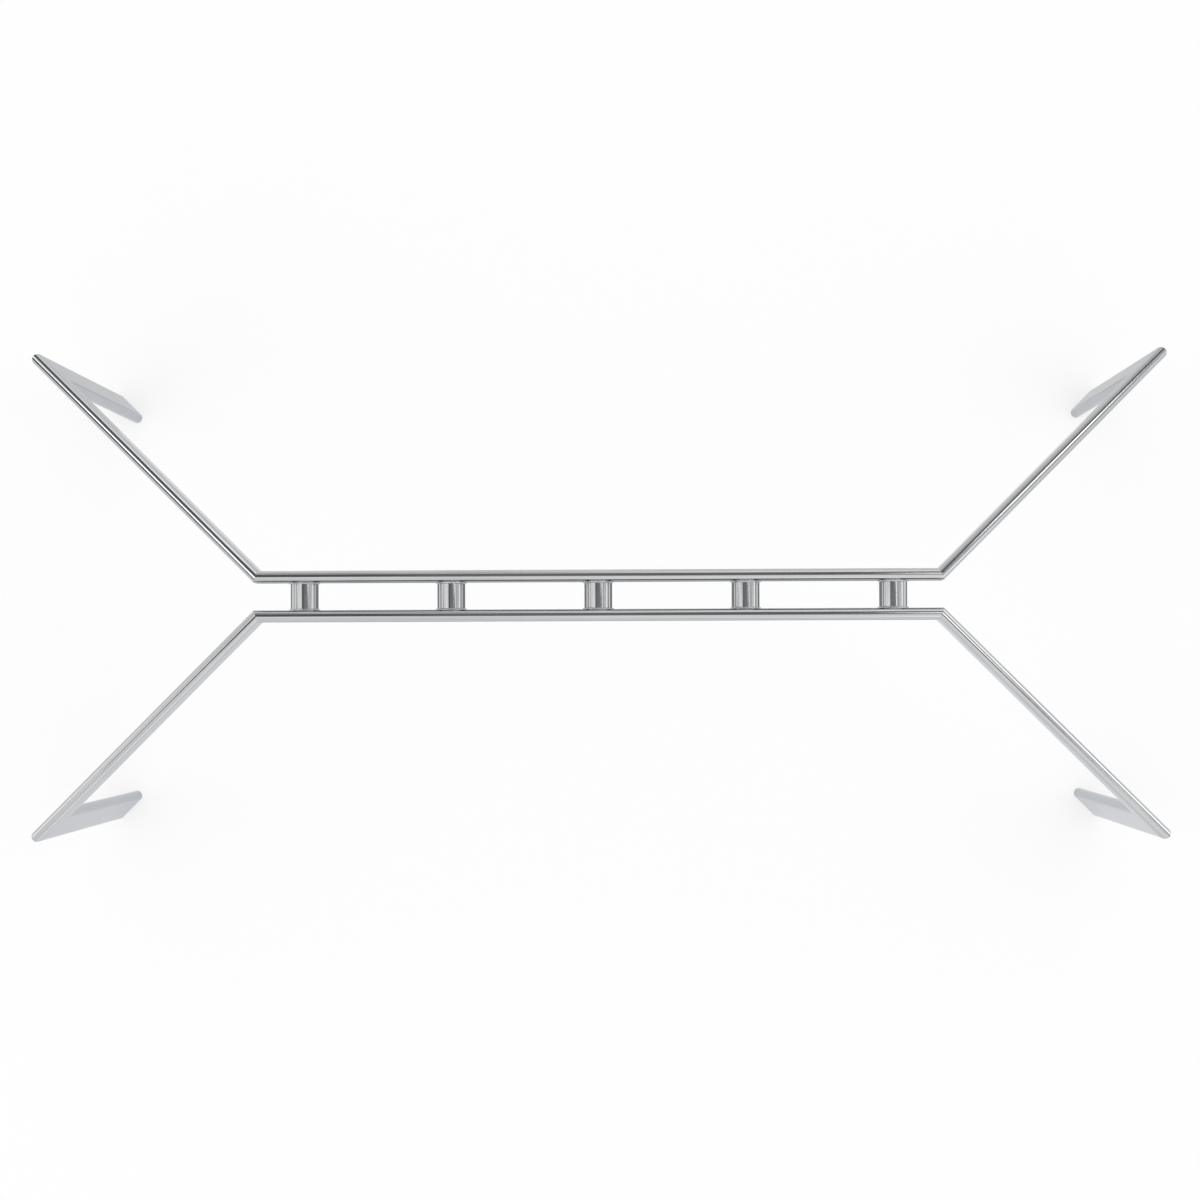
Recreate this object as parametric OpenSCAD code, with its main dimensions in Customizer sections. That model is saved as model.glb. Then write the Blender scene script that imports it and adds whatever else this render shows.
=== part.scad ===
// Open frame for a glass dining table, seen here standing on its four feet.
// Two parallel rails of flat-oval steel tube run along X and are held apart by round spacers.
// At each end of a rail an arm turns off towards a corner, and a leg of the same tube drops from it.
// The tube always stands on edge: its full-round edges face up and down, its flat sides are upright.
// The origin is on the floor, under the middle of the frame.

/* [Frame] */
// Height of the rails' top edge above the floor
frame_h = 735; // [640:5:790]
// Length of each rail on its centre line, from bend to bend
rail_len = 1182; // [700:2:1500]
// Clear gap between the two rails
rail_gap = 48; // [30:1:90]
// Angle that each arm turns away from its rail, seen from above
arm_angle = 45; // [30:1:60]
// Length of each arm on its centre line, from the bend to the outer edge of its leg
arm_len = 544; // [300:2:700]

/* [Tube] */
// Depth of the flat-oval tube, from round edge to round edge
tube_depth = 70; // [70:1:90]
// Thickness of the flat-oval tube, from flat side to flat side
tube_w = 20; // [14:0.5:20]
// Wall of the flat-oval tube
tube_wall = 2; // [1.2:0.1:3]

/* [Spacers] */
// Number of round spacers between the rails, at equal distances
spacer_count = 5; // [2:1:7]
// Distance from a bend to the middle of the spacer nearest to it
spacer_end = 81; // [50:1:200]
// Outer diameter of a spacer
spacer_d = 48; // [25:0.5:48]
// Wall of a spacer
spacer_wall = 2; // [1.2:0.1:4]
// Leg of the weld bead that runs round each end of a spacer
weld_leg = 2.5; // [1:0.1:3]

/* [Feet] */
// Thickness of the plate that closes the bottom of each leg
plate_t = 3; // [2:0.5:6]
// Height of the nylon pad under each plate
pad_h = 3; // [2:0.5:6]
// Distance from the edge of the plate in to the edge of the pad
pad_inset = 3; // [1:0.5:3.5]
// Bevel round the bottom edge of the pad
pad_bevel = 0.8; // [0.3:0.1:1.2]
// Diameter of each of the pad's two stems
stem_d = 5; // [3:0.5:7]
// Distance between the pad's two stems
stem_pitch = 36; // [20:1:44]
// Length of a stem above the pad
stem_len = 9; // [7:0.5:20]
// Bevel round the top of a stem
stem_bevel = 0.8; // [0.3:0.1:1]
// Clearance all round a stem in its hole
stem_clearance = 0.1; // [0.05:0.05:0.3]

/* [Hidden] */
$fn = 96;
// Extra length that each cut takes off
overrun = 10;
// Where the arc that hollows the weld bead has its centre, in weld legs from the bead's root
bead_centre_share = 1.6;
// Width of a weld bead before the rail's round edge ends it, in weld legs
bead_stock_share = 1.15;
// Turn from an arm into its leg
corner_turn = 90;

// Height of the centre line of the rails and arms
axis_z = frame_h - tube_depth / 2;
// Distance from the middle of the frame to a rail's centre line
rail_y = (rail_gap + tube_w) / 2;
// Distance from the middle of the frame to a bend
bend_x = rail_len / 2;
// Distance from a bend to a leg's centre line, along the arm
leg_reach = arm_len - tube_depth / 2;
// Height of the bottom end of each leg's tube
leg_z = pad_h + plate_t;
// Straight part of the tube's flat sides
tube_flat = tube_depth - tube_w;
// Length added to a tube at an end that a mitre then cuts
mitre_stock = tube_depth + overrun;
// Side of the block that makes a mitre cut
mitre_block = 2 * (tube_depth + tube_w) + 2 * overrun;
// Distance from one spacer to the next
spacer_pitch = (rail_len - 2 * spacer_end) / (spacer_count - 1);
// Width across the pad
pad_w = tube_w - 2 * pad_inset;

// Corner names, with the sides that they are on along X and along Y
CORNERS = [
    ["front_left", -1, -1],
    ["front_right", 1, -1],
    ["rear_left", -1, 1],
    ["rear_right", 1, 1]
];
// Rail names, with the sides that they are on along Y
RAILS = [["front", -1], ["rear", 1]];

// Flat-oval outline, w across and depth from round edge to round edge
module flat_oval(w, depth) {
    square([w, depth - w], center = true);
    for (end = [-1, 1])
        translate([0, end * (depth - w) / 2])
            circle(d = w);
}

// Section of the tube's wall
module tube_section() {
    difference() {
        flat_oval(tube_w, tube_depth);
        flat_oval(tube_w - 2 * tube_wall, tube_depth - 2 * tube_wall);
    }
}

// Runs a section along X, with its depth upright, from x = start to x = start + length
module along_x(start, length) {
    translate([start, 0, 0])
        rotate([90, 0, 90])
            linear_extrude(length)
                children();
}

// Block that takes away everything on the side of x = 0 that side gives
module mitre_cut(side) {
    translate([side * mitre_block / 2, 0, 0])
        cube(mitre_block, center = true);
}

// Places what is drawn for the rear right corner at corner c
module at_corner(c) {
    mirror([c[1] < 0 ? 1 : 0, 0, 0])
        mirror([0, c[2] < 0 ? 1 : 0, 0])
            children();
}

// Places what is drawn at the origin on the rear right leg's centre line, with X along its arm
module on_leg_axis() {
    translate([bend_x, rail_y, 0])
        rotate([0, 0, arm_angle])
            translate([leg_reach, 0, 0])
                children();
}

// Straight rail, mitred at both bends
module rail(side) {
    color("silver")
        translate([0, side * rail_y, axis_z])
            difference() {
                along_x(-bend_x - mitre_stock, rail_len + 2 * mitre_stock)
                    tube_section();
                for (end = [-1, 1])
                    translate([end * bend_x, 0, 0])
                        rotate([0, 0, end * side * arm_angle / 2])
                            mitre_cut(end);
            }
}

// Arm, mitred to its rail at the bend and to its leg at the corner
module arm() {
    color("silver")
        translate([bend_x, rail_y, axis_z])
            rotate([0, 0, arm_angle])
                difference() {
                    along_x(-mitre_stock, leg_reach + 2 * mitre_stock)
                        tube_section();
                    rotate([0, 0, -arm_angle / 2])
                        mitre_cut(-1);
                    translate([leg_reach, 0, 0])
                        rotate([0, corner_turn / 2, 0])
                            mitre_cut(1);
                }
}

// Leg, mitred to its arm at the top and square at the foot
module leg() {
    color("silver")
        on_leg_axis()
            difference() {
                translate([0, 0, leg_z])
                    rotate([0, 0, 90])
                        linear_extrude(axis_z + mitre_stock - leg_z)
                            tube_section();
                translate([0, 0, axis_z])
                    rotate([0, corner_turn / 2, 0])
                        mitre_cut(-1);
            }
}

// Plate that closes the bottom of a leg, with a hole for each stem of the pad
module foot_plate() {
    color("silver")
        on_leg_axis()
            translate([0, 0, pad_h])
                rotate([0, 0, 90])
                    linear_extrude(plate_t)
                        difference() {
                            flat_oval(tube_w, tube_depth);
                            for (end = [-1, 1])
                                translate([0, end * stem_pitch / 2])
                                    circle(d = stem_d + 2 * stem_clearance);
                        }
}

// Outline of one side of the pad's section, from its bottom edge up, with the edge bevelled
function pad_side() = [
    [pad_w / 2 - pad_bevel, 0],
    [pad_w / 2, pad_bevel],
    [pad_w / 2, pad_h]
];

// Full section across the straight part of the pad
module pad_section() {
    side = pad_side();
    polygon(concat(side, [for (i = [len(side) - 1 : -1 : 0]) [-side[i][0], side[i][1]]]));
}

// Half section of the pad, which turns round to make each of its ends
module pad_end_section() {
    polygon(concat([[0, 0]], pad_side(), [[0, pad_h]]));
}

// Nylon pad: a flat-oval sole with two stems that press into the plate
module floor_pad() {
    color("whitesmoke")
        on_leg_axis() {
            along_x(-tube_flat / 2, tube_flat)
                pad_section();
            for (end = [-1, 1]) {
                translate([end * tube_flat / 2, 0, 0])
                    rotate_extrude()
                        pad_end_section();
                translate([end * stem_pitch / 2, 0, 0])
                    stem();
            }
        }
}

// Stem of a pad, bevelled at the top
module stem() {
    rotate_extrude()
        polygon([
            [0, 0],
            [stem_d / 2, 0],
            [stem_d / 2, pad_h + stem_len - stem_bevel],
            [stem_d / 2 - stem_bevel, pad_h + stem_len],
            [0, pad_h + stem_len]
        ]);
}

// Places what is drawn round Z at the middle of spacer i, counted from the left, with Z across the rails
module at_spacer(i) {
    translate([spacer_end - bend_x + (i - 1) * spacer_pitch, 0, axis_z])
        rotate([90, 0, 0])
            children();
}

// Round spacer, a length of tube whose ends sit on the rails' flat sides
module spacer(i) {
    color("lightgray")
        at_spacer(i)
            difference() {
                cylinder(d = spacer_d, h = rail_gap, center = true);
                cylinder(d = spacer_d - 2 * spacer_wall, h = rail_gap + 2 * overrun, center = true);
            }
}

// Section of a weld bead with its root at the origin, hollowed by an arc through both of its toes.
// It runs on below the root, into the rail, whose own surface then ends it.
module bead_section() {
    centre = bead_centre_share * weld_leg;
    difference() {
        translate([0, -weld_leg])
            square([bead_stock_share * weld_leg, weld_leg + centre]);
        translate([centre, centre])
            circle(r = norm([centre, centre - weld_leg]));
    }
}

// Weld beads round both ends of spacer i, seated on the rails
module spacer_weld(i) {
    color("gainsboro")
        difference() {
            at_spacer(i)
                for (end = [0, 1])
                    mirror([0, 0, end])
                        translate([0, 0, -rail_gap / 2])
                            rotate_extrude()
                                translate([spacer_d / 2, 0])
                                    bead_section();
            for (side = [-1, 1])
                translate([0, side * rail_y, axis_z])
                    along_x(-bend_x, rail_len)
                        flat_oval(tube_w, tube_depth);
        }
}

for (r = RAILS)
    rail(r[1]);
for (c = CORNERS) {
    at_corner(c) arm();
    at_corner(c) leg();
    at_corner(c) foot_plate();
    at_corner(c) floor_pad();
}
for (i = [1 : spacer_count]) {
    spacer(i);
    spacer_weld(i);
}
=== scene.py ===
"""Visual model of an open steel frame for a glass dining table.

The solids of the frame come in as fixed pieces. This script gives each of them its finish, models
the welds in the detail that the solids leave out, and stands the frame in a white studio under a
camera that looks down on it. All lengths are in metres.
"""

import logging
import math
from abc import ABC, abstractmethod
from dataclasses import dataclass, field
from enum import Enum
from typing import Callable, Optional, Sequence

import bpy
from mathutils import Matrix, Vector


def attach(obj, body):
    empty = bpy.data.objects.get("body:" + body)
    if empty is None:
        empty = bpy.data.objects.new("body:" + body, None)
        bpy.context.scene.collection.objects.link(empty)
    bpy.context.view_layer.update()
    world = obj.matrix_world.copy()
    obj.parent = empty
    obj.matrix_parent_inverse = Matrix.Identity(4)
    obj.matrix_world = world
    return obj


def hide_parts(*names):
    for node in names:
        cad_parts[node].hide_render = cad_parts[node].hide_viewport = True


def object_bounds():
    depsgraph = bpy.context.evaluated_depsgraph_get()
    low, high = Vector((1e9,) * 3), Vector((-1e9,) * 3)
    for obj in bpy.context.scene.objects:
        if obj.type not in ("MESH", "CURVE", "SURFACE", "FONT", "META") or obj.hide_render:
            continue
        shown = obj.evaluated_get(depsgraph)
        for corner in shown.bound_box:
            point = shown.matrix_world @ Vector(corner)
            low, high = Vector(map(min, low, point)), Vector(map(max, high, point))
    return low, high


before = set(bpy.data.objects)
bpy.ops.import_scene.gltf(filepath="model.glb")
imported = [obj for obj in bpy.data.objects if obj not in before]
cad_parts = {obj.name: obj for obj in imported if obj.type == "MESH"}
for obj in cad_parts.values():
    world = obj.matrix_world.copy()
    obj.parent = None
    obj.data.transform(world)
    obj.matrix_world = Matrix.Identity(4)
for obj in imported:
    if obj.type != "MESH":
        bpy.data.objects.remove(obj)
SOLID_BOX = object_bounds()

log = logging.getLogger("dining_table_base")

Point = tuple[float, float, float]
Colour = tuple[float, float, float, float]
Limits = tuple[float, float]

ORIGIN: Point = (0.0, 0.0, 0.0)
WHITE: Colour = (1.0, 1.0, 1.0, 1.0)

# Points of one mesh that lie nearer together than this are the same point
SAME_POINT = 0.000001
# Points nearer together than this are merged after a cut, so that it leaves no slivers
CUT_MERGE = 0.000003


# Sizes

@dataclass(frozen=True)
class FrameSizes:
    """Sizes of the frame that the solids already have."""

    bend_x: float = 0.591
    rail_y: float = 0.034
    axis_z: float = 0.700
    arm_angle: float = math.radians(45.0)
    leg_reach: float = 0.509
    tube_w: float = 0.020
    tube_depth: float = 0.070
    plate_top: float = 0.006
    rail_gap: float = 0.048
    spacer_d: float = 0.048
    spacer_pitch: float = 0.255
    spacer_count: int = 5

    def spacer_x(self, number: int) -> float:
        """Place of a spacer along X, counted from the left, starting at 1."""
        return (number - (self.spacer_count + 1) / 2) * self.spacer_pitch

    def leg_place(self) -> Vector:
        """Centre line of the rear right leg, on the floor."""
        along = Vector((math.cos(self.arm_angle), math.sin(self.arm_angle), 0.0))
        return Vector((self.bend_x, self.rail_y, 0.0)) + along * self.leg_reach


class Corner(Enum):
    """The four corners, with the sides that they are on along X and along Y."""

    FRONT_LEFT = (-1, -1)
    FRONT_RIGHT = (1, -1)
    REAR_LEFT = (-1, 1)
    REAR_RIGHT = (1, 1)

    @property
    def word(self) -> str:
        """Name of the corner as the nodes write it."""
        return self.name.lower()


class Run(Enum):
    """Direction that a tube runs in, as the turn that brings it onto the X axis."""

    RAIL = (0.0, 0.0, 0.0)
    RISING = (0.0, 0.0, -math.pi / 4)
    FALLING = (0.0, 0.0, math.pi / 4)
    UPRIGHT = (0.0, math.pi / 2, 0.0)
    ROUND = (0.0, 0.0, math.pi / 2)


# Finishes

# Steel reflects less at a low angle than the shader's own curve says
STEEL_EDGE: Colour = (0.696, 0.713, 0.742, 1.0)
# Places of a mix node's two colours among its inputs, and of the mixed colour among its outputs
MIX_FIRST, MIX_SECOND, MIX_RESULT = 6, 7, 2


class NodeSheet:
    """Node tree of one material, with short calls for the nodes that the finishes use."""

    def __init__(self, name: str, metal: bool = False) -> None:
        """Makes the material and its shader.

        Args:
            name: Name of the material.
            metal: Says whether the material is steel.
        """
        self.material = bpy.data.materials.new(name)
        self.material.use_nodes = True
        self.tree = self.material.node_tree
        self.tree.nodes.clear()
        self.shader = self.tree.nodes.new("ShaderNodeBsdfPrincipled")
        output = self.tree.nodes.new("ShaderNodeOutputMaterial")
        self.tree.links.new(self.shader.outputs["BSDF"], output.inputs["Surface"])
        self.place = self.tree.nodes.new("ShaderNodeTexCoord").outputs["Object"]
        if metal:
            self.shader.inputs["Metallic"].default_value = 1.0
            self.shader.inputs["Specular Tint"].default_value = STEEL_EDGE

    def add(self, kind: str, **inputs: object) -> bpy.types.Node:
        """Adds a node and fills its inputs.

        Args:
            kind: Type name of the node.
            **inputs: Values or output sockets, by the input's name with underscores for spaces.

        Returns:
            The new node.
        """
        node = self.tree.nodes.new(kind)
        for key, value in inputs.items():
            self.feed(node.inputs[key.replace("_", " ")], value)
        return node

    def feed(self, socket: bpy.types.NodeSocket, value: object) -> None:
        """Links an output socket to an input, or sets the input to a value.

        Args:
            socket: The input.
            value: An output socket, a number or a row of numbers.
        """
        if isinstance(value, bpy.types.NodeSocket):
            self.tree.links.new(value, socket)
        else:
            socket.default_value = value

    def stretched(self, run: Run, scale: Point) -> bpy.types.NodeSocket:
        """Gives coordinates with X along the tube, scaled on each axis.

        Args:
            run: Direction of the tube.
            scale: Scale of the pattern along, across and up the tube.

        Returns:
            The vector output.
        """
        turned = self.add("ShaderNodeMapping", Vector=self.place, Rotation=run.value)
        scaled = self.add("ShaderNodeMapping", Vector=turned.outputs["Vector"], Scale=scale)
        return scaled.outputs["Vector"]

    def noise(self, vector: bpy.types.NodeSocket, scale: float,
              detail: float = 2.0) -> bpy.types.NodeSocket:
        """Adds a noise texture.

        Args:
            vector: Coordinates of the pattern.
            scale: Scale of the pattern.
            detail: Number of finer layers.

        Returns:
            The value output, from 0 to 1.
        """
        node = self.add("ShaderNodeTexNoise", Vector=vector, Scale=scale, Detail=detail)
        return node.outputs["Fac"]

    def spread(self, value: bpy.types.NodeSocket, low: float, high: float,
               start: float = 0.3, end: float = 0.7) -> bpy.types.NodeSocket:
        """Maps a pattern's value onto a range.

        Args:
            value: The pattern.
            low: Result at the start.
            high: Result at the end.
            start: Value that gives the low result.
            end: Value that gives the high result.

        Returns:
            The mapped value.
        """
        node = self.add("ShaderNodeMapRange", Value=value, From_Min=start, From_Max=end,
                        To_Min=low, To_Max=high)
        return node.outputs["Result"]

    def blend(self, factor: bpy.types.NodeSocket, first: Colour,
              second: Colour) -> bpy.types.NodeSocket:
        """Mixes two colours by a pattern.

        Args:
            factor: The pattern, from 0 to 1.
            first: Colour at 0.
            second: Colour at 1.

        Returns:
            The mixed colour.
        """
        node = self.tree.nodes.new("ShaderNodeMix")
        node.data_type = "RGBA"
        self.feed(node.inputs["Factor"], factor)
        self.feed(node.inputs[MIX_FIRST], first)
        self.feed(node.inputs[MIX_SECOND], second)
        return node.outputs[MIX_RESULT]

    def bump(self, height: bpy.types.NodeSocket, distance: float,
             before: Optional[bpy.types.NodeSocket] = None) -> bpy.types.NodeSocket:
        """Turns a pattern into relief.

        Args:
            height: The pattern.
            distance: Height of the relief.
            before: Relief that this one is laid over.

        Returns:
            The normal output.
        """
        node = self.add("ShaderNodeBump", Height=height, Distance=distance, Strength=1.0)
        if before is not None:
            self.feed(node.inputs["Normal"], before)
        return node.outputs["Normal"]


@dataclass(frozen=True)
class PolishedSteel:
    """Mirror-polished stainless tube with faint lines along it and a slow ripple in its skin."""

    name: str
    run: Run
    light: Colour = (0.605, 0.612, 0.622, 1.0)
    deep: Colour = (0.565, 0.572, 0.582, 1.0)
    smooth: float = 0.075
    dull: float = 0.125
    rough_limits: Limits = (0.15, 0.85)
    line_scale: Point = (6.0, 900.0, 900.0)
    line_detail: float = 3.0
    line_depth: float = 0.0000004
    line_share: float = 0.5
    wave_scale: Point = (7.0, 16.0, 16.0)
    wave_depth: float = 0.000008
    haze_scale: float = 9.0
    haze_detail: float = 4.0
    haze_share: float = 0.5

    def make(self) -> bpy.types.Material:
        """Makes the material.

        Returns:
            The finished material.
        """
        sheet = NodeSheet(self.name, metal=True)
        shader = sheet.shader
        lines = sheet.noise(sheet.stretched(self.run, self.line_scale), 1.0, self.line_detail)
        haze = sheet.noise(sheet.place, self.haze_scale, self.haze_detail)
        wave = sheet.noise(sheet.stretched(self.run, self.wave_scale), 1.0, 0.0)
        tone = sheet.blend(sheet.spread(haze, 0.0, 1.0), self.light, self.deep)
        sheet.feed(shader.inputs["Base Color"], tone)
        mixed = sheet.add("ShaderNodeMath")
        mixed.operation = "MULTIPLY_ADD"
        sheet.feed(mixed.inputs[0], lines)
        sheet.feed(mixed.inputs[1], self.line_share)
        sheet.feed(mixed.inputs[2], sheet.spread(haze, 0.0, self.haze_share))
        rough = sheet.spread(mixed.outputs[0], self.smooth, self.dull, *self.rough_limits)
        sheet.feed(shader.inputs["Roughness"], rough)
        relief = sheet.bump(wave, self.wave_depth)
        relief = sheet.bump(lines, self.line_depth, relief)
        sheet.feed(shader.inputs["Normal"], relief)
        return sheet.material


@dataclass(frozen=True)
class GroundWeld:
    """Weld that was ground back and polished, a little duller than the tube."""

    name: str = "ground_weld_steel"
    light: Colour = (0.600, 0.612, 0.630, 1.0)
    deep: Colour = (0.500, 0.510, 0.525, 1.0)
    smooth: float = 0.16
    dull: float = 0.30
    grind_scale: float = 1400.0
    grind_detail: float = 4.0
    grind_depth: float = 0.000008
    patch_scale: float = 260.0

    def make(self) -> bpy.types.Material:
        """Makes the material.

        Returns:
            The finished material.
        """
        sheet = NodeSheet(self.name, metal=True)
        shader = sheet.shader
        grind = sheet.noise(sheet.place, self.grind_scale, self.grind_detail)
        patch = sheet.noise(sheet.place, self.patch_scale)
        tone = sheet.blend(sheet.spread(patch, 0.0, 1.0), self.light, self.deep)
        sheet.feed(shader.inputs["Base Color"], tone)
        sheet.feed(shader.inputs["Roughness"], sheet.spread(grind, self.smooth, self.dull))
        sheet.feed(shader.inputs["Normal"], sheet.bump(grind, self.grind_depth))
        return sheet.material


@dataclass(frozen=True)
class BeadSteel:
    """Bright weld metal with fine puddle marks and a breath of straw where it ran hottest."""

    name: str = "bead_steel"
    bright: Colour = (0.640, 0.645, 0.650, 1.0)
    straw: Colour = (0.575, 0.545, 0.485, 1.0)
    straw_share: float = 0.5
    smooth: float = 0.07
    dull: float = 0.16
    heat_scale: float = 70.0
    heat_limits: Limits = (0.45, 0.75)
    skin_scale: float = 2200.0
    skin_depth: float = 0.00001
    detail: float = 3.0

    def make(self) -> bpy.types.Material:
        """Makes the material.

        Returns:
            The finished material.
        """
        sheet = NodeSheet(self.name, metal=True)
        shader = sheet.shader
        heat = sheet.noise(sheet.place, self.heat_scale, self.detail)
        skin = sheet.noise(sheet.place, self.skin_scale, self.detail)
        share = sheet.spread(heat, 0.0, self.straw_share, *self.heat_limits)
        tone = sheet.blend(share, self.bright, self.straw)
        sheet.feed(shader.inputs["Base Color"], tone)
        sheet.feed(shader.inputs["Roughness"], sheet.spread(skin, self.smooth, self.dull))
        sheet.feed(shader.inputs["Normal"], sheet.bump(skin, self.skin_depth))
        return sheet.material


@dataclass(frozen=True)
class MouldedNylon:
    """Off-white nylon with the fine grain of its mould and grey scuffs from the floor."""

    name: str = "moulded_nylon"
    clean: Colour = (0.780, 0.775, 0.750, 1.0)
    scuffed: Colour = (0.560, 0.550, 0.520, 1.0)
    smooth: float = 0.45
    dull: float = 0.62
    grain_scale: float = 1800.0
    grain_detail: float = 3.0
    grain_depth: float = 0.00003
    scuff_scale: float = 160.0
    scuff_detail: float = 5.0
    scuff_limits: Limits = (0.5, 0.8)

    def make(self) -> bpy.types.Material:
        """Makes the material.

        Returns:
            The finished material.
        """
        sheet = NodeSheet(self.name)
        shader = sheet.shader
        grain = sheet.noise(sheet.place, self.grain_scale, self.grain_detail)
        scuff = sheet.noise(sheet.place, self.scuff_scale, self.scuff_detail)
        share = sheet.spread(scuff, 0.0, 1.0, *self.scuff_limits)
        tone = sheet.blend(share, self.clean, self.scuffed)
        sheet.feed(shader.inputs["Base Color"], tone)
        sheet.feed(shader.inputs["Roughness"], sheet.spread(grain, self.smooth, self.dull))
        sheet.feed(shader.inputs["Normal"], sheet.bump(grain, self.grain_depth))
        return sheet.material


# Modelling

class Bench:
    """The modelling steps that the new pieces share, done with Blender's own operators."""

    @staticmethod
    def clear() -> None:
        """Leaves edit mode and deselects everything."""
        if bpy.context.object is not None and bpy.context.object.mode != "OBJECT":
            bpy.ops.object.mode_set(mode="OBJECT")
        bpy.ops.object.select_all(action="DESELECT")

    @staticmethod
    def take(piece: bpy.types.Object) -> None:
        """Selects one object alone and makes it active."""
        Bench.clear()
        piece.select_set(True)
        bpy.context.view_layer.objects.active = piece

    @staticmethod
    def pick(piece: bpy.types.Object, test: Callable[[Vector], bool]) -> Vector:
        """Selects vertices by their place, and the edges and faces between them.

        Args:
            piece: Object in edit mode.
            test: Says whether the vertex at a place is picked.

        Returns:
            The middle of the picked vertices.
        """
        bpy.ops.object.mode_set(mode="OBJECT")
        for polygon in piece.data.polygons:
            polygon.select = False
        for edge in piece.data.edges:
            edge.select = False
        for vertex in piece.data.vertices:
            vertex.select = test(vertex.co)
        places = [vertex.co.copy() for vertex in piece.data.vertices if vertex.select]
        bpy.ops.object.mode_set(mode="EDIT")
        bpy.ops.mesh.select_mode(type="VERT")
        return sum(places, Vector()) / len(places)

    @staticmethod
    def keep_inside(piece: bpy.types.Object, box: Sequence[Vector]) -> None:
        """Cuts off whatever stands outside a box and closes the cuts.

        Args:
            piece: Object whose place is in its mesh.
            box: Lowest and highest corners.
        """
        Bench.take(piece)
        bpy.ops.object.mode_set(mode="EDIT")
        for axis in range(3):
            for corner, sign in zip(box, (-1.0, 1.0)):
                normal = [0.0, 0.0, 0.0]
                normal[axis] = sign
                bpy.ops.mesh.select_all(action="SELECT")
                bpy.ops.mesh.bisect(plane_co=corner, plane_no=normal, use_fill=True,
                                    clear_outer=True, threshold=SAME_POINT)
        bpy.ops.mesh.select_all(action="SELECT")
        bpy.ops.mesh.remove_doubles(threshold=CUT_MERGE)
        bpy.ops.mesh.normals_make_consistent(inside=False)
        bpy.ops.object.mode_set(mode="OBJECT")

    @staticmethod
    def settle(piece: bpy.types.Object) -> None:
        """Puts the object's place into its mesh and turns its faces outwards."""
        Bench.take(piece)
        bpy.ops.object.transform_apply(location=True, rotation=True, scale=True)
        bpy.ops.object.mode_set(mode="EDIT")
        bpy.ops.mesh.select_all(action="SELECT")
        bpy.ops.mesh.remove_doubles(threshold=SAME_POINT)
        bpy.ops.mesh.normals_make_consistent(inside=False)
        bpy.ops.object.mode_set(mode="OBJECT")

    @staticmethod
    def copy_to(piece: bpy.types.Object, name: str, sides: tuple[int, int]) -> bpy.types.Object:
        """Copies a settled piece to another corner by mirroring it through the middle.

        Args:
            piece: Piece at the rear right corner.
            name: Name of the copy.
            sides: Sides of the corner along X and along Y.

        Returns:
            The copy, with its own mesh.
        """
        Bench.take(piece)
        bpy.ops.object.duplicate(linked=False)
        copy = bpy.context.object
        copy.name = name
        copy.scale = (sides[0], sides[1], 1.0)
        Bench.settle(copy)
        return copy

    @staticmethod
    def copy_along(piece: bpy.types.Object, name: str, shift: Vector) -> bpy.types.Object:
        """Copies a settled piece to another place.

        Args:
            piece: The piece.
            name: Name of the copy.
            shift: Way from the piece to its copy.

        Returns:
            The copy, with its own mesh.
        """
        Bench.take(piece)
        bpy.ops.object.duplicate(linked=False)
        copy = bpy.context.object
        copy.name = name
        copy.location = shift
        bpy.ops.object.transform_apply(location=True, rotation=True, scale=True)
        return copy


class Wardrobe:
    """The finished materials, each made once."""

    def __init__(self) -> None:
        """Makes every material of the frame."""
        self.tube = {run: PolishedSteel(f"polished_steel_{run.name.lower()}", run).make()
                     for run in Run}
        self.ground = GroundWeld().make()
        self.bead = BeadSteel().make()
        self.nylon = MouldedNylon().make()

    @staticmethod
    def dress(piece: bpy.types.Object, material: bpy.types.Material) -> None:
        """Puts one material in all of a piece's slots.

        Args:
            piece: The piece.
            material: Its finish.
        """
        if not piece.data.materials:
            piece.data.materials.append(material)
        for slot in piece.material_slots:
            slot.material = material


# Sub-assemblies

@dataclass
class SubAssembly(ABC):
    """A group of pieces of the frame."""

    sizes: FrameSizes
    finishes: Wardrobe
    pieces: list[bpy.types.Object] = field(default_factory=list)

    @abstractmethod
    def build(self) -> None:
        """Makes and dresses the group's pieces."""

    def dress_node(self, name: str, material: bpy.types.Material) -> None:
        """Gives a solid its finish.

        Args:
            name: Name of the node.
            material: Its finish.
        """
        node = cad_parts[name]
        self.finishes.dress(node, material)
        self.pieces.append(node)

    def own(self, piece: bpy.types.Object, material: bpy.types.Material, slot: str) -> None:
        """Gives a new piece its finish and lets it move with the frame.

        Args:
            piece: The piece.
            material: Its finish.
            slot: Not used.
        """
        self.finishes.dress(piece, material)
        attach(piece, "root")
        self.pieces.append(piece)

    def report(self) -> None:
        """Logs each piece with its number of faces."""
        for piece in self.pieces:
            log.info("%s: %s, %d faces", type(self).__name__, piece.name, len(piece.data.polygons))


@dataclass
class Tubes(SubAssembly):
    """The two rails, the four arms and the four legs."""

    def build(self) -> None:
        """Dresses every tube with lines that follow its own direction."""
        for side in ("front", "rear"):
            self.dress_node(f"rail_{side}", self.finishes.tube[Run.RAIL])
        for corner in Corner:
            across, along = corner.value
            run = Run.RISING if across == along else Run.FALLING
            self.dress_node(f"arm_{corner.word}", self.finishes.tube[run])
            self.dress_node(f"leg_{corner.word}", self.finishes.tube[Run.UPRIGHT])


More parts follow.
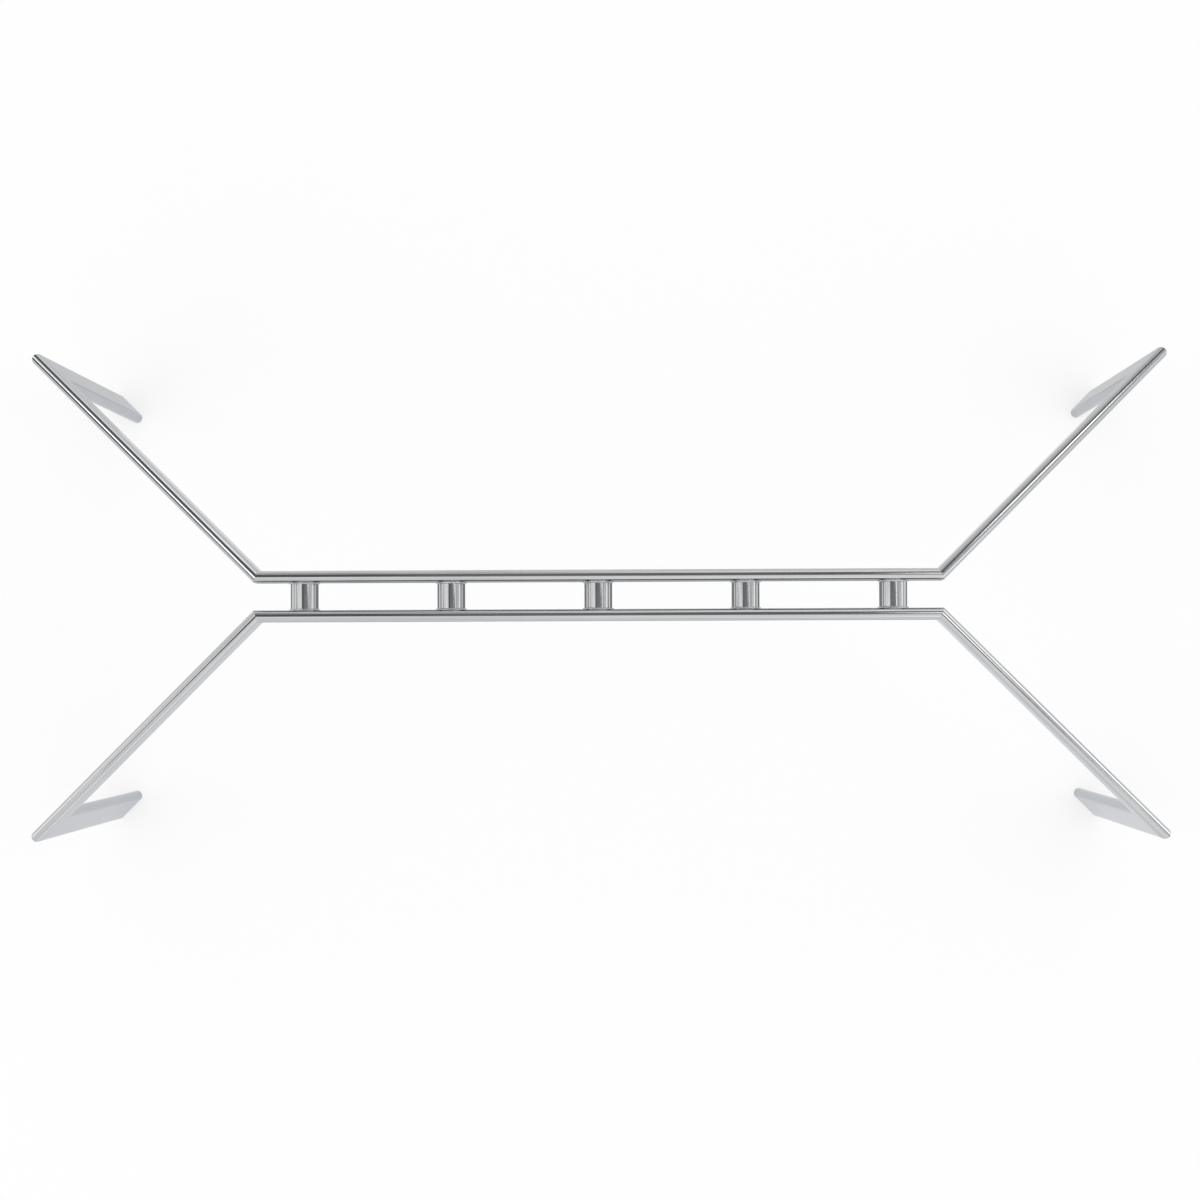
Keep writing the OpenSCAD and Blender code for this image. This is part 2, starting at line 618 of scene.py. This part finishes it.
@dataclass
class Spacers(SubAssembly):
    """The five round spacers and the rippled weld beads that hold them.

    A bead is a ring of ripples. Its round section has its middle bead_seat off both the spacer and
    the rail. swells widens each ripple step by step, and crown_lead moves its crown forward, once
    for every limit that a point lies above.
    """

    ripples: int = 76
    bead_r: float = 0.0018
    bead_seat: float = 0.0007
    points: int = 12
    swells: tuple[float, ...] = (1.10, 1.14, 1.08)
    crown_limits: tuple[float, ...] = (0.1, 0.5, 0.9)
    crown_lead: float = math.radians(0.7)

    def ripple(self, root: Vector, radius: float) -> bpy.types.Object:
        """Models one ripple, a short swollen length of bead with its crown ahead of its toes.

        Args:
            root: Middle of the spacer's front end.
            radius: Distance from the spacer's axis to the middle of the bead.

        Returns:
            The ripple, open at both ends and in edit mode.
        """
        pitch = 2 * math.pi / self.ripples
        middle_y = root.y + self.bead_seat
        Bench.clear()
        bpy.ops.mesh.primitive_circle_add(vertices=self.points, radius=self.bead_r,
                                          fill_type="NOTHING",
                                          location=(root.x + radius, middle_y, root.z))
        ripple = bpy.context.object
        bpy.ops.object.transform_apply(location=True, rotation=True, scale=True)
        bpy.ops.object.mode_set(mode="EDIT")
        bpy.ops.mesh.select_all(action="SELECT")
        steps = len(self.swells) + 1
        bpy.ops.mesh.spin(steps=steps, angle=pitch, center=root, axis=(0.0, -1.0, 0.0))

        def turn_of(place: Vector) -> float:
            """Turn of a point round the spacer's axis, away from the first outline."""
            return abs(math.atan2(place.z - root.z, place.x - root.x))

        def crown_of(place: Vector) -> float:
            """How near a point lies to the bead's crown, from -1 to 1."""
            out = math.hypot(place.x - root.x, place.z - root.z) - radius
            up = place.y - middle_y
            return (out + up) / math.hypot(out, up) / math.sqrt(2.0)

        for step, swell in enumerate(self.swells, 1):
            turn = pitch * step / steps
            near = pitch / steps / 2
            middle = Bench.pick(ripple, lambda place, t=turn: abs(turn_of(place) - t) < near)
            bpy.ops.transform.resize(value=(swell, swell, swell), center_override=middle)
        for limit in self.crown_limits:
            Bench.pick(ripple, lambda place, c=limit: crown_of(place) > c)
            bpy.ops.transform.rotate(value=self.crown_lead, orient_axis="Y",
                                     center_override=root)
        return ripple

    def bead_pair(self) -> bpy.types.Object:
        """Lays the beads round both ends of the first spacer.

        Returns:
            The two closed rings as one piece.
        """
        sizes = self.sizes
        root = Vector((sizes.spacer_x(1), -sizes.rail_gap / 2, sizes.axis_z))
        front = self.ripple(root, sizes.spacer_d / 2 + self.bead_seat)
        bpy.ops.mesh.select_all(action="SELECT")
        copies = self.ripples - 1
        bpy.ops.mesh.spin(steps=copies, dupli=True, angle=2 * math.pi * copies / self.ripples,
                          center=root, axis=(0.0, -1.0, 0.0))
        Bench.settle(front)
        rear = Bench.copy_to(front, "rear_ring", (1, -1))
        front.select_set(True)
        bpy.context.view_layer.objects.active = rear
        bpy.ops.object.join()
        bpy.ops.object.shade_smooth()
        return rear

    def build(self) -> None:
        """Dresses the spacers, models one pair of beads and copies it to each spacer."""
        numbers = range(1, self.sizes.spacer_count + 1)
        for number in numbers:
            self.dress_node(f"spacer_{number}", self.finishes.tube[Run.ROUND])
        model = self.bead_pair()
        for number in numbers:
            shift = Vector((self.sizes.spacer_x(number) - self.sizes.spacer_x(1), 0.0, 0.0))
            bead = Bench.copy_along(model, f"rippled_weld_{number}", shift) if number > 1 else model
            bead.name = f"rippled_weld_{number}"
            self.own(bead, self.finishes.bead, "weld_bead")
            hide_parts(f"spacer_weld_{number}")


@dataclass
class Seams(SubAssembly):
    """Ground weld seams at the bends, at the tops of the legs and round the foot plates."""

    half_width: float = 0.0006
    rise: float = 0.00006
    points: int = 96
    rounding_share: float = 0.6
    rounding_steps: int = 2
    sharp_angle: float = math.radians(40.0)
    smooth_angle: float = math.radians(30.0)

    def outline(self) -> bpy.types.Object:
        """Draws the tube's outline round the X axis, with its depth upright.

        Returns:
            A closed ring of edges at the origin, in edit mode.
        """
        sizes = self.sizes
        Bench.clear()
        bpy.ops.mesh.primitive_circle_add(vertices=self.points, radius=sizes.tube_w / 2,
                                          fill_type="NOTHING")
        ring = bpy.context.object
        bpy.ops.object.mode_set(mode="EDIT")
        bpy.ops.mesh.select_all(action="SELECT")
        bpy.ops.transform.rotate(value=math.pi / self.points, orient_axis="Z",
                                 center_override=ORIGIN)
        bpy.ops.transform.rotate(value=math.pi / 2, orient_axis="Y", center_override=ORIGIN)
        straight = (sizes.tube_depth - sizes.tube_w) / 2
        round_reach = sizes.tube_w / 2 + SAME_POINT
        for side in (-1, 1):
            Bench.pick(ring, lambda place, s=side: 0.0 < place.z * s < round_reach)
            bpy.ops.transform.translate(value=(0.0, 0.0, side * straight))
        bpy.ops.mesh.select_all(action="SELECT")
        return ring

    def band(self, ring: bpy.types.Object, first: Vector, second: Vector) -> bpy.types.Object:
        """Draws the outline out to both sides and thickens it into a low rounded band.

        Args:
            ring: The outline in the plane of the joint, in edit mode.
            first: Direction along the surface on one side of the joint.
            second: Direction along the surface on its other side.

        Returns:
            The band, in object mode.
        """
        count = len(ring.data.vertices)
        bpy.ops.mesh.extrude_region_move(TRANSFORM_OT_translate={"value": first * self.half_width})
        bpy.ops.object.mode_set(mode="OBJECT")
        for polygon in ring.data.polygons:
            polygon.select = False
        for edge in ring.data.edges:
            edge.select = max(edge.vertices) < count
        for vertex in ring.data.vertices:
            vertex.select = vertex.index < count
        bpy.ops.object.mode_set(mode="EDIT")
        bpy.ops.mesh.select_mode(type="EDGE")
        bpy.ops.mesh.extrude_edges_move(TRANSFORM_OT_translate={"value": second * self.half_width})
        bpy.ops.mesh.select_all(action="SELECT")
        bpy.ops.mesh.normals_make_consistent(inside=False)
        bpy.ops.object.mode_set(mode="OBJECT")
        bpy.ops.object.modifier_add(type="SOLIDIFY")
        wall = ring.modifiers[-1]
        wall.thickness = self.rise * 2
        wall.offset = 0.0
        wall.use_even_offset = True
        bpy.ops.object.modifier_apply(modifier=wall.name)
        bpy.ops.object.modifier_add(type="BEVEL")
        rounding = ring.modifiers[-1]
        rounding.width = self.rise * self.rounding_share
        rounding.segments = self.rounding_steps
        rounding.angle_limit = self.sharp_angle
        bpy.ops.object.modifier_apply(modifier=rounding.name)
        return ring

    def bend_seam(self) -> bpy.types.Object:
        """Models the seam between a rail and an arm at the rear right bend.

        Returns:
            The seam, in its place.
        """
        sizes = self.sizes
        half = sizes.arm_angle / 2
        ring = self.outline()
        bpy.ops.transform.resize(value=(1.0, 1.0 / math.cos(half), 1.0), center_override=ORIGIN)
        bpy.ops.transform.rotate(value=-half, orient_axis="Z", center_override=ORIGIN)
        arm = Vector((math.cos(sizes.arm_angle), math.sin(sizes.arm_angle), 0.0))
        self.band(ring, Vector((-1.0, 0.0, 0.0)), arm)
        ring.location = (sizes.bend_x, sizes.rail_y, sizes.axis_z)
        Bench.settle(ring)
        return ring

    def corner_seam(self) -> bpy.types.Object:
        """Models the seam between an arm and its leg at the rear right corner.

        Returns:
            The seam, in its place.
        """
        sizes = self.sizes
        ring = self.outline()
        bpy.ops.transform.resize(value=(1.0, 1.0, math.sqrt(2.0)), center_override=ORIGIN)
        bpy.ops.transform.rotate(value=-math.pi / 4, orient_axis="Y", center_override=ORIGIN)
        self.band(ring, Vector((-1.0, 0.0, 0.0)), Vector((0.0, 0.0, -1.0)))
        ring.rotation_euler = (0.0, 0.0, sizes.arm_angle)
        ring.location = sizes.leg_place() + Vector((0.0, 0.0, sizes.axis_z))
        Bench.settle(ring)
        return ring

    def plate_seam(self) -> bpy.types.Object:
        """Models the seam between the rear right leg and its foot plate.

        Returns:
            The seam, in its place.
        """
        sizes = self.sizes
        ring = self.outline()
        bpy.ops.transform.rotate(value=math.pi / 2, orient_axis="Y", center_override=ORIGIN)
        self.band(ring, Vector((0.0, 0.0, 1.0)), Vector((0.0, 0.0, -1.0)))
        ring.rotation_euler = (0.0, 0.0, sizes.arm_angle)
        ring.location = sizes.leg_place() + Vector((0.0, 0.0, sizes.plate_top))
        Bench.settle(ring)
        return ring

    def build(self) -> None:
        """Models one seam of each kind and copies it to the other corners."""
        kinds = (("bend_seam", self.bend_seam), ("corner_seam", self.corner_seam),
                 ("plate_seam", self.plate_seam))
        for kind, make in kinds:
            model = make()
            Bench.keep_inside(model, SOLID_BOX)
            model.name = f"{kind}_{Corner.REAR_RIGHT.word}"
            copies = [model]
            for corner in Corner:
                if corner is not Corner.REAR_RIGHT:
                    copies.append(Bench.copy_to(model, f"{kind}_{corner.word}", corner.value))
            for copy in copies:
                Bench.take(copy)
                bpy.ops.object.shade_smooth_by_angle(angle=self.smooth_angle)
                self.own(copy, self.finishes.ground, "polished_steel")


@dataclass
class Feet(SubAssembly):
    """The foot plates and the nylon pads pressed into them."""

    def build(self) -> None:
        """Dresses the plates and the pads."""
        for corner in Corner:
            self.dress_node(f"foot_plate_{corner.word}", self.finishes.ground)
            self.dress_node(f"floor_pad_{corner.word}", self.finishes.nylon)


# Studio

@dataclass(frozen=True)
class Card:
    """A flat panel that only the polished metal sees."""

    name: str
    centre: Point
    size: tuple[float, float]
    turn: float
    level: float

    def hang(self) -> bpy.types.Object:
        """Hangs the panel in the studio.

        Returns:
            The panel.
        """
        Bench.clear()
        bpy.ops.mesh.primitive_plane_add(size=1.0, location=self.centre,
                                         rotation=(0.0, 0.0, self.turn))
        card = bpy.context.object
        card.name = self.name
        card.scale = (self.size[0], self.size[1], 1.0)
        bpy.ops.object.transform_apply(location=True, rotation=True, scale=True)
        return self.show_to_metal(card, self.level)

    @staticmethod
    def show_to_metal(panel: bpy.types.Object, level: float) -> bpy.types.Object:
        """Makes a panel that only mirror rays meet.

        Args:
            panel: The panel's mesh.
            level: Its brightness, where 1 is white.

        Returns:
            The panel.
        """
        panel.visible_camera = False
        panel.visible_diffuse = False
        panel.visible_shadow = False
        material = bpy.data.materials.new(panel.name)
        material.use_nodes = True
        tree = material.node_tree
        tree.nodes.clear()
        glow = tree.nodes.new("ShaderNodeEmission")
        glow.inputs["Color"].default_value = WHITE
        glow.inputs["Strength"].default_value = level
        output = tree.nodes.new("ShaderNodeOutputMaterial")
        tree.links.new(glow.outputs["Emission"], output.inputs["Surface"])
        panel.data.materials.append(material)
        return panel


@dataclass(frozen=True)
class Softbox:
    """A soft rectangular lamp."""

    name: str
    place: Point
    size: tuple[float, float]
    turn: float
    watts: float

    def light(self) -> bpy.types.Object:
        """Sets up the lamp.

        Returns:
            The lamp.
        """
        data = bpy.data.lights.new(self.name, "AREA")
        data.shape = "RECTANGLE"
        data.size, data.size_y = self.size
        data.energy = self.watts
        lamp = bpy.data.objects.new(self.name, data)
        lamp.location = self.place
        lamp.rotation_euler = (0.0, 0.0, self.turn)
        lamp.visible_camera = False
        bpy.context.scene.collection.objects.link(lamp)
        return lamp


@dataclass
class Studio:
    """White studio with a pale floor, soft light, and cards that the polished metal mirrors."""

    cards: tuple[Card, ...] = (
        Card("flag_overhead", (-0.44, 1.48, 4.63), (2.53, 4.43), 0.02, 0.13),
        Card("flag_rear", (0.51, 0.53, 1.42), (1.89, 0.48), 0.30, 0.21),
        Card("flag_front", (0.43, -0.24, 2.94), (1.97, 0.72), 0.02, 0.26),
        Card("flag_front_left", (-2.69, -1.19, 1.96), (2.40, 1.72), -1.61, 0.00),
        Card("flag_rear_left", (-2.11, 1.88, 2.11), (4.77, 1.64), 0.61, 0.22),
        Card("flag_right", (3.35, 0.31, 2.30), (0.75, 0.51), -0.34, 0.16),
        Card("scrim_front_left", (-0.81, -0.88, 1.30), (1.24, 0.95), -0.31, 0.87),
        Card("scrim_front_right", (2.31, -0.65, 2.94), (1.42, 1.12), -1.06, 0.49),
        Card("scrim_right", (2.38, 0.85, 2.98), (2.69, 2.09), -1.32, 0.66),
        Card("reflector_front_right", (2.78, -3.55, 1.73), (3.26, 4.77), 0.93, 1.45),
        Card("reflector_right", (4.06, 1.65, 3.15), (1.12, 5.73), -0.51, 2.01),
        Card("reflector_right_low", (3.33, 1.44, 1.54), (1.69, 3.16), 0.84, 2.36),
        Card("reflector_rear", (0.80, 2.18, 2.76), (0.74, 1.90), -0.33, 1.40),
        Card("reflector_left", (-3.14, 1.02, 1.74), (1.63, 1.40), -0.23, 1.89),
        Card("grey_paper_rear", (0.00, 0.78, 0.006), (1.24, 1.10), 0.00, 0.80),
        Card("grey_paper_rear_left", (-1.03, 0.64, 0.008), (0.50, 0.26), -0.785, 0.80),
        Card("grey_paper_rear_right", (1.03, 0.64, 0.010), (0.50, 0.26), 0.785, 0.76),
        # Dark strip on the floor right under the rails, which only the metal sees: painted shade
        # for the frame's own shadow beneath it
        Card("painted_shade_below", (0.00, 0.00, 0.012), (3.00, 0.20), 0.00, 0.32),
    )
    lamps: tuple[Softbox, ...] = (
        Softbox("softbox_left", (-2.31, -0.80, 3.68), (1.52, 0.82), -1.34, 6.9),
        Softbox("softbox_right", (1.55, 0.20, 3.70), (0.76, 1.40), 0.77, 7.1),
    )
    floor_size: float = 60.0
    floor_colour: Colour = (0.94, 0.94, 0.94, 1.0)
    floor_glow: float = 0.60
    air_level: float = 1.0
    wall_r: float = 8.0
    wall_h: float = 1.5
    wall_sides: int = 64
    wall_level: float = 0.58

    @staticmethod
    def seen_rays(tree: bpy.types.NodeTree) -> bpy.types.NodeSocket:
        """Adds a value that is 1 for camera, mirror and glass rays.

        Args:
            tree: Node tree that gets the nodes.

        Returns:
            The value.
        """
        path = tree.nodes.new("ShaderNodeLightPath")
        total = path.outputs["Is Camera Ray"]
        for name in ("Is Glossy Ray", "Is Transmission Ray"):
            either = tree.nodes.new("ShaderNodeMath")
            either.operation = "MAXIMUM"
            tree.links.new(total, either.inputs[0])
            tree.links.new(path.outputs[name], either.inputs[1])
            total = either.outputs[0]
        return total

    def fill_air(self) -> None:
        """Makes the background white and lets it light the room softly."""
        world = bpy.context.scene.world or bpy.data.worlds.new("studio_air")
        bpy.context.scene.world = world
        world.use_nodes = True
        tree = world.node_tree
        tree.nodes.clear()
        glow = tree.nodes.new("ShaderNodeBackground")
        glow.inputs["Color"].default_value = WHITE
        glow.inputs["Strength"].default_value = self.air_level
        output = tree.nodes.new("ShaderNodeOutputWorld")
        tree.links.new(glow.outputs["Background"], output.inputs["Surface"])

    def lay_floor(self) -> bpy.types.Object:
        """Lays the pale floor, which keeps the frame's shadow.

        Returns:
            The floor.
        """
        Bench.clear()
        bpy.ops.mesh.primitive_plane_add(size=self.floor_size)
        floor = bpy.context.object
        floor.name = "pale_floor"
        material = bpy.data.materials.new("pale_floor")
        material.use_nodes = True
        tree = material.node_tree
        tree.nodes.clear()
        matt = tree.nodes.new("ShaderNodeBsdfDiffuse")
        matt.inputs["Color"].default_value = self.floor_colour
        glow = tree.nodes.new("ShaderNodeEmission")
        glow.inputs["Color"].default_value = WHITE
        share = tree.nodes.new("ShaderNodeMath")
        share.operation = "MULTIPLY"
        tree.links.new(self.seen_rays(tree), share.inputs[0])
        share.inputs[1].default_value = self.floor_glow
        blend = tree.nodes.new("ShaderNodeMixShader")
        tree.links.new(share.outputs[0], blend.inputs[0])
        tree.links.new(matt.outputs["BSDF"], blend.inputs[1])
        tree.links.new(glow.outputs["Emission"], blend.inputs[2])
        output = tree.nodes.new("ShaderNodeOutputMaterial")
        tree.links.new(blend.outputs["Shader"], output.inputs["Surface"])
        floor.data.materials.append(material)
        return floor

    def ring_wall(self) -> bpy.types.Object:
        """Stands a low grey wall round the room, which the metal shows as its horizon.

        Returns:
            The wall.
        """
        Bench.clear()
        middle = (0.0, 0.0, self.wall_h / 2)
        bpy.ops.mesh.primitive_cylinder_add(vertices=self.wall_sides, radius=self.wall_r,
                                            depth=self.wall_h, end_fill_type="NOTHING",
                                            location=middle)
        wall = bpy.context.object
        wall.name = "low_wall"
        bpy.ops.object.transform_apply(location=True, rotation=True, scale=True)
        return Card.show_to_metal(wall, self.wall_level)

    def build(self) -> None:
        """Sets up the whole studio."""
        self.fill_air()
        self.lay_floor()
        self.ring_wall()
        for card in self.cards:
            card.hang()
        for lamp in self.lamps:
            lamp.light()
        bpy.context.scene.view_settings.view_transform = "Standard"


@dataclass(frozen=True)
class OverheadCamera:
    """Camera that looks down on the frame from above its middle."""

    place: Point = (0.1004, -0.1245, 5.5005)
    turn: Point = (0.0242, 0.0204, -0.0039)
    lens: float = 83.15
    sensor: float = 36.0
    near: float = 0.05
    far: float = 100.0

    def build(self) -> bpy.types.Object:
        """Sets up the camera and makes it the scene's own.

        Returns:
            The camera.
        """
        data = bpy.data.cameras.new("overhead_camera")
        data.lens = self.lens
        data.sensor_width = self.sensor
        data.clip_start, data.clip_end = self.near, self.far
        camera = bpy.data.objects.new("overhead_camera", data)
        camera.location = self.place
        camera.rotation_euler = self.turn
        bpy.context.scene.collection.objects.link(camera)
        bpy.context.scene.camera = camera
        return camera


def main() -> None:
    """Builds the studio and dresses the frame, sub-assembly by sub-assembly."""
    logging.basicConfig(level=logging.INFO, format="%(message)s")
    OverheadCamera().build()
    Studio().build()
    sizes = FrameSizes()
    finishes = Wardrobe()
    for kind in (Tubes, Spacers, Seams, Feet):
        group = kind(sizes, finishes)
        group.build()
        group.report()


if __name__ == "__main__":
    main()
